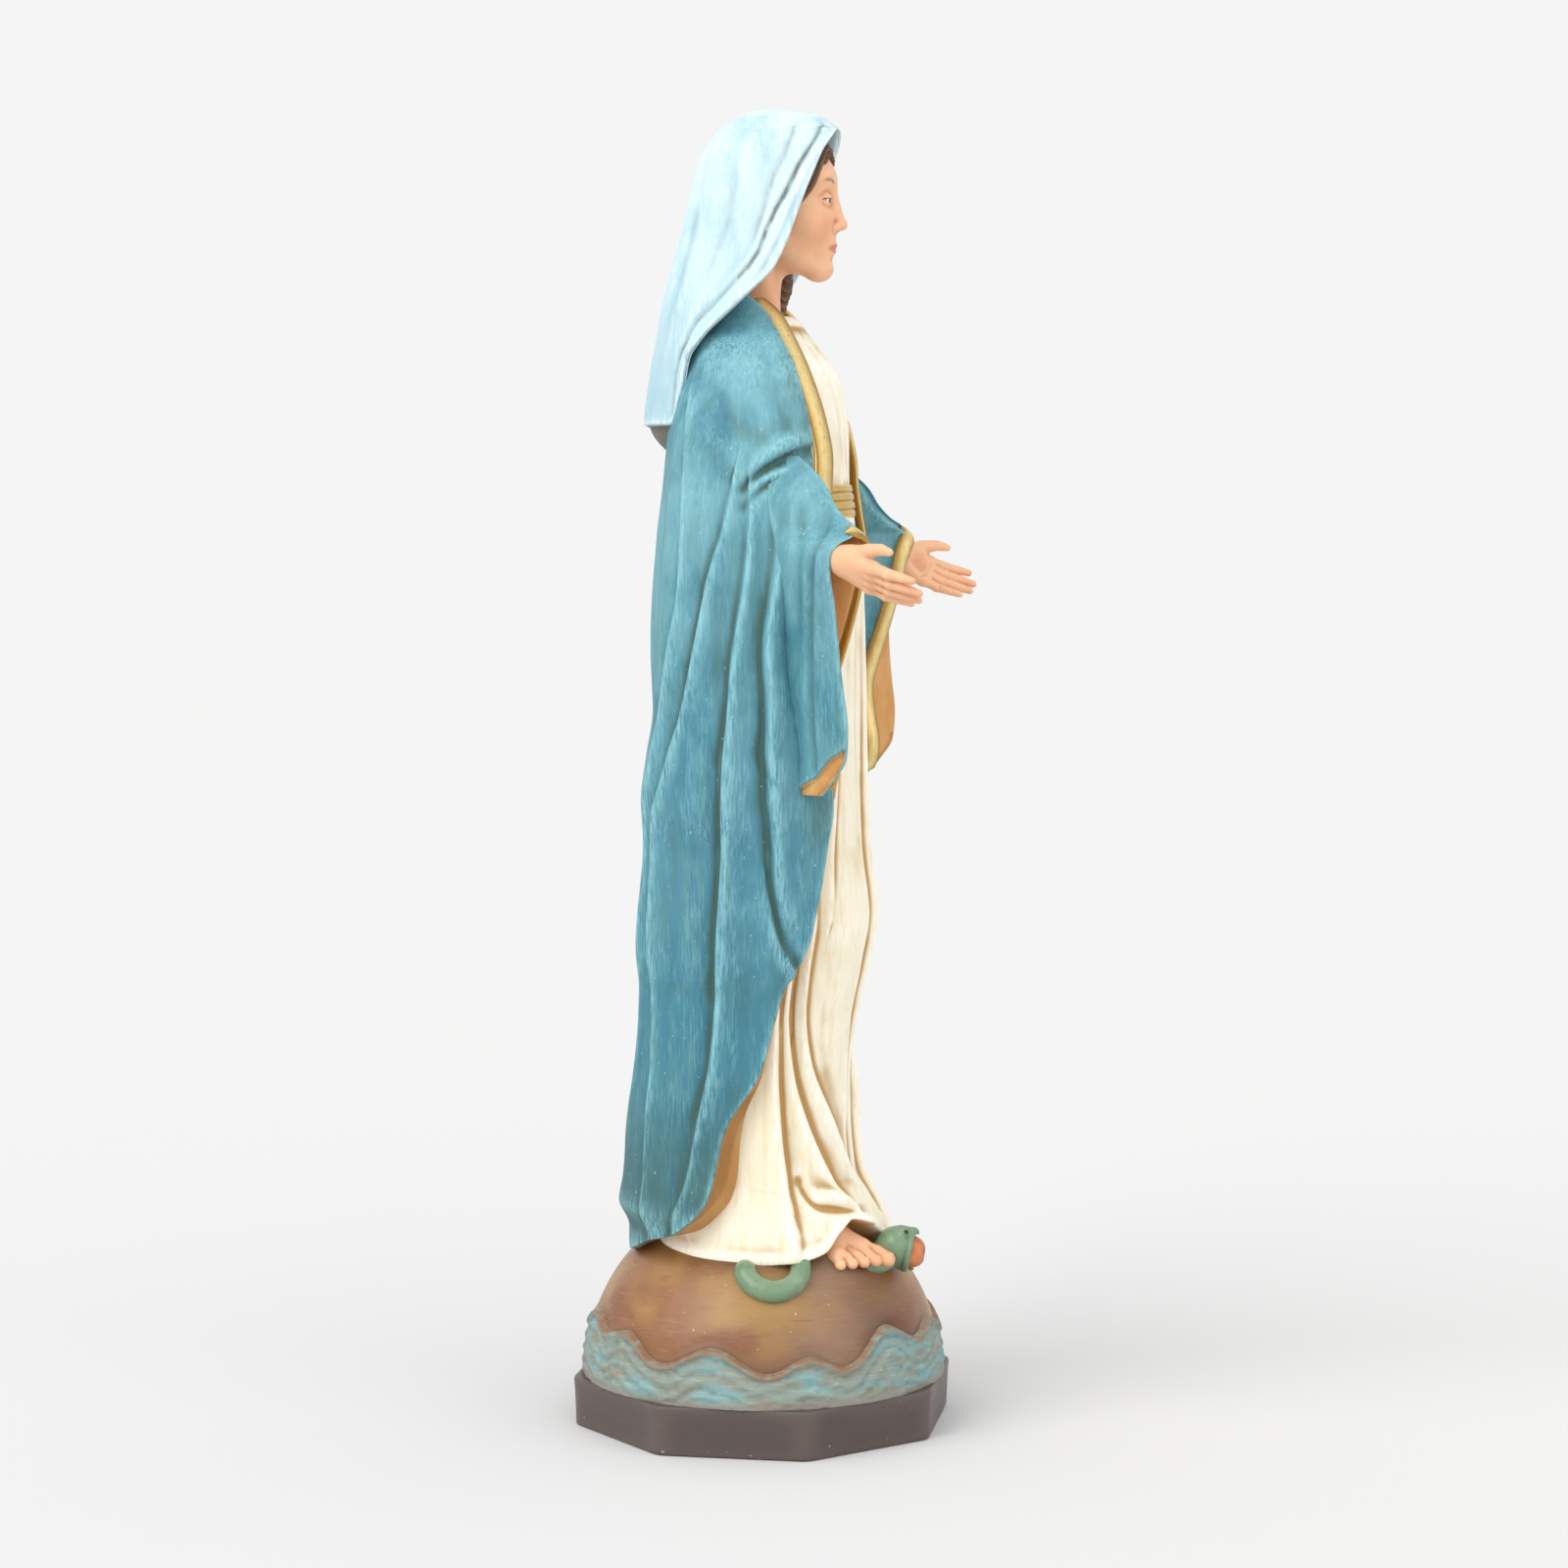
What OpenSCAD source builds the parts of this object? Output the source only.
// Painted resin statue of a veiled lady on a globe, with an octagonal plinth.
// Millimetres. +Z up, origin at the middle of the plinth's underside.
// She faces -Y, and her right hand is on the -X side.

/* [Plinth] */
// Width of the octagon across its flats
plinth_flats = 83; // [82.8:0.2:96]
// Height of the plinth
plinth_h = 11.3; // [10:0.1:14]
// Thickness of the felt pad under the plinth
felt_t = 1; // [0.6:0.1:1.5]
// Diameter of the screw that holds the figure to the plinth
screw_d = 5; // [4:0.5:6]

/* [Globe] */
// Radius of the globe
globe_r = 41.2; // [40.5:0.1:41.2]
// Number of waves in the cloud band around the globe
wave_count = 11; // [8:1:14]
// Diameter of the serpent's body
snake_d = 5; // [4.5:0.1:5.4]

/* [Figure] */
// Height of the figure above the top of the globe
figure_h = 256; // [246:1:264]
// How far each hanging sleeve reaches from the middle
sleeve_reach = 42; // [41:0.5:43]
// Width of the gilt borders
border_w = 4.4; // [3.6:0.1:5]
// Diameter of the dowels that hold the hands
dowel_d = 2; // [1.6:0.1:2.4]

/* [Hidden] */

around = 60;              // points around each draped section
felt_inset = 2;           // felt edge to plinth edge
felt_pocket = 0.8;        // depth of the felt's pocket in the plinth
lift = felt_t - felt_pocket;
octagon_r = plinth_flats / 2 / cos(22.5);
washer_r = 6.5;
washer_t = 1;
screw_head_r = 4.6;
screw_head_h = 2.4;
counterbore_h = 4.2;
screw_top = plinth_h + 34;
stand_z = 44;             // height at which the figure's own measure starts
fs = figure_h / 256;      // scale of the figure's tables
skin = 0.12;              // space left between two cast pieces
neck_r = 5.6;
wrist = [-41, -24, stand_z + 155.5 * fs];
hand_point = [-0.48, -0.76, -0.44];
palm_faces = [0.652, -0.643, 0.40];

// Draped sections: height above the globe, front, back and half width
gown_rings = [[-12, -30, 24, 28.5], [3, -28, 23.5, 27], [8, -25.3, 23, 26.2], [14, -21.9, 22, 25.4],
    [25, -20.5, 21, 25], [36, -20.2, 20, 24.5], [50, -21.4, 19.5, 24], [62, -23.8, 19.5, 23.4],
    [74, -25.7, 18.7, 22.8], [90, -23.9, 18, 22], [130, -23, 16, 20], [150, -22.8, 15, 17.8],
    [163, -21, 13, 15.5], [172, -19.9, 13, 15], [184, -19.7, 14, 17.5], [196, -17.4, 14, 18.6],
    [203, -12.4, 12.4, 15], [208, -8.6, 9.5, 9.5], [210, -7, 8.6, 8.2]];
mantle_rings = [[-12, -22, 30, 30.5], [2, -22, 30, 30], [8, -22, 32.2, 31], [14, -22, 31.1, 31],
    [28, -22, 29.7, 31], [44, -23, 27.5, 31], [57, -24, 26.8, 31], [67, -25, 27.8, 32],
    [90, -25.5, 26.5, 33], [99, -26, 27, 34], [110, -26, 25.5, 34.6], [121, -26, 23.7, 34.8],
    [137, -26, 24.2, 34.6], [152, -25, 23.5, 34], [166, -22.5, 22.3, 32.5], [176, -20.5, 21.3, 30],
    [185, -19.8, 20.9, 27.5], [196, -17.5, 19.5, 24.5], [203, -12.8, 16, 20.5], [208, -9.4, 12, 14],
    [213, -8, 10.2, 10.4]];
veil_rings = [[176, -6, 20, 14], [185, -6, 27, 17], [193, -8, 26, 18.6], [205, -11, 23.6, 20.4],
    [212, -13, 22.4, 20], [222, -15.5, 20.1, 17.8], [230, -17, 17.9, 16.2], [237, -18, 16.3, 15.2],
    [245, -18.4, 14.2, 13.8], [251, -17.4, 10.6, 11.2], [254.6, -13.5, 5.5, 7.6], [256, -6, 2, 3]];
sleeve_rings = [[104, -23, -14, 34.5, 37.5], [110, -24.8, -8, 32.5, 38.5], [120, -24.6, -4, 31, 39.4],
    [135, -23.8, 0, 30, 40.4], [148, -23.6, 2, 29.5, 41.6], [156, -26.6, 4, 29, 44], [162, -25, 6, 27.5, 42.5],
    [168, -20, 8, 25, 38.5], [174, -13, 8, 23, 33.5], [178, -8, 7, 22, 29.5]];

// Front edges: [y, height above the globe] from the hem up
mantle_edge = [[31.5, -6], [24.5, 0], [15, 3.7], [11.6, 6.8], [8.2, 11.3], [3.7, 28], [-4.1, 40.5],
    [-9.6, 59.4], [-15.1, 70.5], [-17.5, 82], [-18.5, 98], [-15, 112], [-13, 148], [-15, 163],
    [-14.9, 179], [-10.9, 197], [-7.6, 204], [-4.3, 209.5], [-1.4, 214.5]];
veil_edge = [[18.3, 184.6], [15.8, 192.4], [14, 200], [10.6, 204.5], [2.8, 212], [-5, 220.2],
    [-10.6, 234.7], [-14.6, 246], [-17.2, 252.5]];

// Height of a figure table's value in the part's own frame
function up(h) = stand_z + h * fs;

// One superellipse section, with shallow folds
function section(r, folds, depth) = [
    for (i = [0 : around - 1])
        let (a = 360 * i / around,
            c = cos(a),
            s = sin(a),
            mid = (r[1] + r[2]) / 2,
            half = (r[2] - r[1]) / 2,
            k = pow(pow(abs(c), 2.3) + pow(abs(s), 2.3), -1 / 2.3),
            f = 1 - depth * (0.5 - 0.5 * cos(folds * a)))
        [r[3] * c * k * f, mid + half * s * k * f, up(r[0])]];

// Closed skin through a list of sections with the same number of points
module skin_over(sections) {
    n = len(sections[0]);
    top = len(sections) - 1;
    polyhedron(
        points = [for (s = sections) each s],
        faces = concat(
            [[for (j = [0 : n - 1]) j]],
            [[for (j = [n - 1 : -1 : 0]) top * n + j]],
            [for (i = [0 : top - 1], j = [0 : n - 1])
                [(i + 1) * n + j, i * n + (j + 1) % n, i * n + j]],
            [for (i = [0 : top - 1], j = [0 : n - 1])
                [(i + 1) * n + j, (i + 1) * n + (j + 1) % n, i * n + (j + 1) % n]]));
}

module draped(rings, grow = 0, folds = 0, depth = 0) {
    skin_over([for (r = rings)
        section([r[0], r[1] - grow, r[2] + grow, r[3] + grow], folds, depth)]);
}

// Everything in front of an edge, across the whole figure
module in_front_of(edge) {
    first = edge[0];
    last = edge[len(edge) - 1];
    outline = concat(
        [for (p = edge) [p[0], up(p[1])]],
        [[last[0], up(270)], [-70, up(270)], [-70, up(-30)], [first[0], up(-30)]]);
    translate([-60, 0, 0]) rotate([90, 0, 90]) linear_extrude(120) polygon(outline);
}

module ball(at, size) {
    translate(at) resize(2 * size) sphere(10, $fn = 32);
}

module on_left() {
    mirror([1, 0, 0]) children();
}

module globe_ball(grow = 0) {
    translate([0, 0, plinth_h]) sphere(globe_r + grow, $fn = 96);
}

// Globe's surface height at a distance from the middle
function globe_z(r) = plinth_h + sqrt(globe_r * globe_r - r * r);

// ---- plinth, felt and the screw that clamps the stack ----

module felt_pad() {
    color("#2f4a38")
        rotate(22.5) cylinder(felt_t, r = octagon_r - felt_inset, $fn = 8);
}

module plinth() {
    color("#5c524e") difference() {
        translate([0, 0, lift]) rotate(22.5) cylinder(plinth_h - lift, r = octagon_r, $fn = 8);
        translate([0, 0, lift - 1])
            rotate(22.5) cylinder(felt_pocket + 1, r = octagon_r - felt_inset, $fn = 8);
        translate([0, 0, felt_t - 0.5]) cylinder(counterbore_h + 0.5, r = washer_r + 0.3, $fn = 48);
        cylinder(plinth_h + 1, r = screw_d / 2 + 0.3, $fn = 48);
    }
}

module base_washer() {
    color("#a9abad") translate([0, 0, felt_t + counterbore_h - washer_t]) difference() {
        cylinder(washer_t, r = washer_r, $fn = 48);
        translate([0, 0, -1]) cylinder(washer_t + 2, r = screw_d / 2 + 0.2, $fn = 48);
    }
}

module base_screw() {
    seat = felt_t + counterbore_h - washer_t;
    color("#8f9194") difference() {
        union() {
            translate([0, 0, seat - screw_head_h]) cylinder(screw_head_h, r = screw_head_r, $fn = 48);
            translate([0, 0, seat - 0.01]) cylinder(screw_top - seat, r = screw_d / 2, $fn = 48);
        }
        translate([0, 0, seat - screw_head_h - 1])
            for (turn = [0, 90]) rotate(turn) translate([-2.4, -0.5, 0]) cube([4.8, 1, 2.2]);
    }
}

// ---- globe, cloud band and serpent ----

module globe() {
    color("#8a6448") difference() {
        globe_ball();
        translate([-60, -60, plinth_h - 60]) cube([120, 120, 60]);
        cylinder(screw_top + 20, r = screw_d / 2 + skin, $fn = 48);
    }
}

// The band hugs the globe: inner wall, outer wall, and a waved top edge
module cloud_band() {
    n = 8 * wave_count;
    wave = [for (i = [0 : n - 1]) 10.4 + 3.2 * cos(wave_count * 360 * i / n)];
    steps = 4;
    inner = globe_r + skin;
    outer = globe_r + 1.1;
    limit = plinth_flats / 2 - 0.05;
    function wall(r, t) = [
        for (i = [0 : n - 1])
            let (h = 0.1 + wave[i] * t,
                q = min(sqrt(r * r - h * h), r == outer ? limit : r))
            [q * cos(360 * i / n), q * sin(360 * i / n), plinth_h + h]];
    rows = concat([for (k = [0 : steps]) wall(outer, k / steps)],
        [for (k = [steps : -1 : 0]) wall(inner, k / steps)]);
    total = len(rows);
    color("#86b0b0") polyhedron(
        points = [for (row = rows) each row],
        faces = concat(
            [for (k = [0 : total - 1], i = [0 : n - 1])
                [((k + 1) % total) * n + i, k * n + (i + 1) % n, k * n + i]],
            [for (k = [0 : total - 1], i = [0 : n - 1])
                [((k + 1) % total) * n + i, ((k + 1) % total) * n + (i + 1) % n,
                    k * n + (i + 1) % n]]));
}

snake_r = snake_d / 2;
coil_r = 6.3;                       // radius of the loop's middle line
coil_turn = 76;                     // where the loop lies, turned from the front towards her right
coil_tilt = 52;                     // slope of the globe there
coil_out = 31.4;                    // distance from the middle to the loop's centre
coil_at = [0, -coil_out, globe_z(coil_out) + 0.6];

// Half a ring with two straight tails that run back under the gown
module snake_coil_bar() {
    rotate(-coil_turn) translate(coil_at) rotate([coil_tilt, 0, 0]) {
        rotate(180) rotate_extrude(angle = 180, $fn = 64)
            translate([coil_r, 0]) circle(snake_r, $fn = 24);
        for (side = [-1, 1]) translate([side * coil_r, -0.01, 0])
            rotate([-90, 0, 0]) cylinder(5.5, r = snake_r, $fn = 24);
    }
}

module snake_coil() {
    color("#7c9a80") difference() {
        snake_coil_bar();
        globe_ball(skin);
        draped(gown_rings, skin);
    }
}

apple_r = 3.9;
apple_at = [-8.5, -37.6, stand_z - 2.8];
neck_at = [-10.5, -29.5, stand_z - 3.4];    // where the neck leaves the toes
bend_at = [-17.5, -28.6, stand_z - 4.6];
under_foot = [-23.4, -22.4, stand_z - 3.8]; // where the body goes in under the toes

module snake_body_bar() {
    hull() {
        translate(under_foot) sphere(snake_r, $fn = 24);
        translate(bend_at) sphere(snake_r, $fn = 24);
    }
    hull() {
        translate(bend_at) sphere(snake_r, $fn = 24);
        translate(neck_at) sphere(snake_r, $fn = 24);
    }
}

// The neck swells into a wide open mouth
module snake_head_form() {
    hull() {
        translate(neck_at) sphere(snake_r + 0.2, $fn = 24);
        translate(apple_at + [0.3, 3.4, 0.8]) sphere(4.4, $fn = 32);
    }
    hull() {
        translate(apple_at + [0.3, 3.4, 1.2]) sphere(4.2, $fn = 32);
        translate(apple_at + [0, -0.4, 3.9]) sphere(1.5, $fn = 24);
    }
    hull() {
        translate(apple_at + [0.3, 3.4, 0]) sphere(4.2, $fn = 32);
        translate(apple_at + [0, 0.2, -3.6]) sphere(1.3, $fn = 24);
    }
}

module snake_body() {
    color("#7c9a80") difference() {
        snake_body_bar();
        globe_ball(skin);
        foot_form();
        snake_head_form();
    }
}

module snake_head() {
    color("#7c9a80") resize([0, 0, 0]) difference() {
        snake_head_form();
        globe_ball(skin);
        apple_ball();
    }
}

module apple_ball() {
    translate(apple_at) sphere(apple_r, $fn = 32);
}

module apple() {
    color("#c86a40") apple_ball();
}

// ---- gown, sash and feet ----

// The foot's long bones and five toes, pointing forward and to the side
module foot_form() {
    translate([-11, -19, stand_z - 2.4]) rotate(-38) scale(1.4) {
        hull() {
            translate([0.5, 5, 2.6]) sphere(3.6, $fn = 24);
            translate([-2.6, -2, 0.9]) sphere(2.1, $fn = 24);
            translate([2.6, -2.6, 1.4]) sphere(2.3, $fn = 24);
        }
        for (k = [0 : 4])
            hull() {
                translate([3.3 - 1.8 * k, -3 + 0.35 * k, 0.9]) sphere(1.3 - 0.1 * k, $fn = 20);
                translate([3.7 - 2 * k, -6.4 + 0.7 * k, 0.1]) sphere(1.2 - 0.1 * k, $fn = 20);
            }
    }
}

// The gown's hem is caught up over the right foot
module foot_opening() {
    ball([-16.5, -26.5, stand_z - 1], [9.5, 8.6, 8.4]);
}

module right_foot() {
    color("#e8a880") difference() {
        foot_form();
        globe_ball(skin);
        difference() {
            draped(gown_rings, skin);
            foot_opening();
        }
    }
}

// The other foot rests flat and shows little more than its toes
module left_foot() {
    color("#e8a880") difference() {
        on_left() translate([-3, -4.2, -2.4]) rotate(12) foot_form();
        globe_ball(skin);
        draped(gown_rings, skin);
    }
}

module gown() {
    color("#f6f0dc") difference() {
        draped(gown_rings, 0, 12, 0.03);
        globe_ball(skin);
        foot_opening();
        translate([0, 2.5, up(196)]) cylinder(30, r = neck_r + skin, $fn = 48);
        cylinder(screw_top + 1, r = screw_d / 2 - 0.35, $fn = 48);
    }
}

sash_low = 164.5;
sash_high = 171.5;

module sash() {
    color("#b8953f") difference() {
        intersection() {
            draped(gown_rings, 0.9);
            translate([-13, -40, up(sash_low)]) cube([26, 30, (sash_high - sash_low) * fs]);
        }
        draped(gown_rings, skin);
    }
}

// ---- mantle, sleeves and borders ----

// A flattened roll along a path, as wide as a border
module roll(path, w, t) {
    n = 10;
    skin_over([for (p = path)
        [for (j = [0 : n - 1])
            [p[0] + t / 2 * cos(360 * j / n), p[1] + w / 2 * sin(360 * j / n), up(p[2])]]]);
}

border_path = [[-31, -19.4, 158], [-26, -18, 163], [-20.5, -16.8, 170], [-18, -16.6, 179],
    [-17, -14.6, 188], [-16, -12.2, 197], [-12.5, -8.6, 204], [-8.6, -5.4, 210]];
cuff_path = [[-36, -25.6, 107], [-37, -26.6, 114], [-36.5, -26.5, 125], [-36.5, -25.5, 138],
    [-38.5, -26, 147]];

module border_form() {
    roll(border_path, border_w, 3);
}

module sleeve_border_form() {
    roll(cuff_path, border_w, 2.4);
}

module right_border() {
    color("#b8953f") difference() {
        border_form();
        draped(gown_rings, skin);
    }
}

module left_border() {
    color("#b8953f") on_left() difference() {
        border_form();
        draped(gown_rings, skin);
    }
}

module right_sleeve_border() {
    color("#b8953f") sleeve_border_form();
}

module left_sleeve_border() {
    color("#b8953f") on_left() sleeve_border_form();
}

module mantle() {
    color("#4a8ea6") difference() {
        draped(mantle_rings, 0, 20, 0.035);
        draped(gown_rings, skin);
        in_front_of(mantle_edge);
        globe_ball(skin);
        border_form();
        on_left() border_form();
        translate([0, 2.5, up(205)]) cylinder(20, r = neck_r + skin, $fn = 48);
    }
}

// One section of a hanging sleeve
function sleeve_section(r) = [
    for (i = [0 : 35])
        let (a = 10 * i,
            mid_x = -(r[3] + r[4] * sleeve_reach / 42) / 2,
            half_x = (r[4] * sleeve_reach / 42 - r[3]) / 2,
            mid_y = (r[1] + r[2]) / 2,
            half_y = (r[2] - r[1]) / 2)
        [mid_x + half_x * cos(a), mid_y + half_y * sin(a), up(r[0])]];

module sleeve_form() {
    difference() {
        skin_over([for (r = sleeve_rings) sleeve_section(r)]);
        draped(mantle_rings, skin, 20, 0.035);
        draped(gown_rings, skin);
        sleeve_border_form();
        border_form();
        hand_pose() hand_form();
        hand_pose() hand_dowel_bore();
    }
}

module right_sleeve() {
    color("#4a8ea6") sleeve_form();
}

module left_sleeve() {
    color("#4a8ea6") on_left() sleeve_form();
}

// ---- hands and their dowels ----

// Wrist at the origin, fingers along +X, palm towards +Y, thumb towards +Z
module hand_form() {
    translate([-3, 0, 0]) rotate([0, 90, 0]) cylinder(5, r = 2.7, $fn = 32);
    hull() {
        translate([1.5, 0, 0]) sphere(2.9, $fn = 24);
        translate([10, 0.4, 2.6]) sphere(1.9, $fn = 24);
        translate([9.4, 0.4, -2.8]) sphere(1.8, $fn = 24);
    }
    for (k = [0 : 3])
        hull() {
            translate([10.5 - 0.3 * k, 0.4, 2.9 - 1.95 * k]) sphere(1.25, $fn = 20);
            translate([21.5 - (k - 1.2) * (k - 1.2), 3 + 0.5 * k, 3.4 - 2.5 * k]) sphere(0.85, $fn = 20);
        }
    hull() {
        translate([3.6, 0.8, 2.2]) sphere(1.7, $fn = 24);
        translate([13, 2.6, 7]) sphere(1, $fn = 24);
    }
}

module hand_dowel_bore() {
    translate([-12, 0, 0]) rotate([0, 90, 0]) cylinder(17, r = dowel_d / 2, $fn = 32);
}

// Puts a hand at the end of her right sleeve
module hand_pose() {
    d = hand_point / norm(hand_point);
    side = palm_faces - d * (palm_faces * d);
    p = side / norm(side);
    t = cross(d, p);
    multmatrix([[d[0], p[0], t[0], wrist[0]], [d[1], p[1], t[1], wrist[1]], [d[2], p[2], t[2], wrist[2]]])
        children();
}

module right_hand() {
    color("#f5c09a") difference() {
        hand_pose() hand_form();
        hand_pose() hand_dowel_bore();
    }
}

module left_hand() {
    color("#f5c09a") on_left() difference() {
        hand_pose() hand_form();
        hand_pose() hand_dowel_bore();
    }
}

module dowel_form() {
    hand_pose() translate([-11, 0, 0]) rotate([0, 90, 0]) cylinder(15, r = dowel_d / 2, $fn = 32);
}

module right_hand_dowel() {
    color("#a9abad") dowel_form();
}

module left_hand_dowel() {
    color("#a9abad") on_left() dowel_form();
}

// ---- head, hair and veil ----

// Plain skull, cheeks and chin on ordinary proportions, with a neck that plugs into the gown
module head_form() {
    ball([0, -1.5, up(238.5)], [11, 13.6, 14]);
    ball([0, -6.5, up(230.5)], [8.6, 9.4, 12]);
    translate([0, 2.5, up(197)]) cylinder(32 * fs, r = neck_r, $fn = 48);
    hull() {
        translate([0, -15, up(237)]) sphere(1, $fn = 20);
        translate([0, -17, up(230.5)]) sphere(1.3, $fn = 20);
    }
}

module head() {
    color("#e0b088") head_form();
}

// Hair parted over the brow and drawn back under the veil, falling behind the neck
module hair_form() {
    ball([0, 0, up(239.4)], [12.4, 14, 13.6]);
    ball([0, 7, up(226)], [9.6, 6.5, 17]);
}

module hair() {
    color("#5c4030") difference() {
        hair_form();
        head_form();
        translate([-20, -40, up(200)]) cube([40, 33, 44 * fs]);
        draped(mantle_rings, skin, 20, 0.035);
        draped(gown_rings, skin);
    }
}

// Drawn as one skin, because it has no bore or pin of its own
module veil() {
    color("#d6f0f6") resize([0, 0, 0]) difference() {
        draped(veil_rings);
        in_front_of(veil_edge);
        hair_form();
        head_form();
        draped(mantle_rings, skin);
        lower_edge_cut();
    }
}

// The veil's lower edge slopes up and back from the mantle
module lower_edge_cut() {
    translate([-40, 21, up(177)]) rotate([45, 0, 0]) translate([0, -20, -30]) cube([80, 60, 30]);
}

felt_pad();
plinth();
base_screw();
base_washer();
globe();
cloud_band();
snake_coil();
snake_body();
snake_head();
apple();
gown();
sash();
mantle();
right_sleeve();
left_sleeve();
right_border();
left_border();
right_sleeve_border();
left_sleeve_border();
head();
hair();
veil();
right_hand();
left_hand();
right_hand_dowel();
left_hand_dowel();
right_foot();
left_foot();
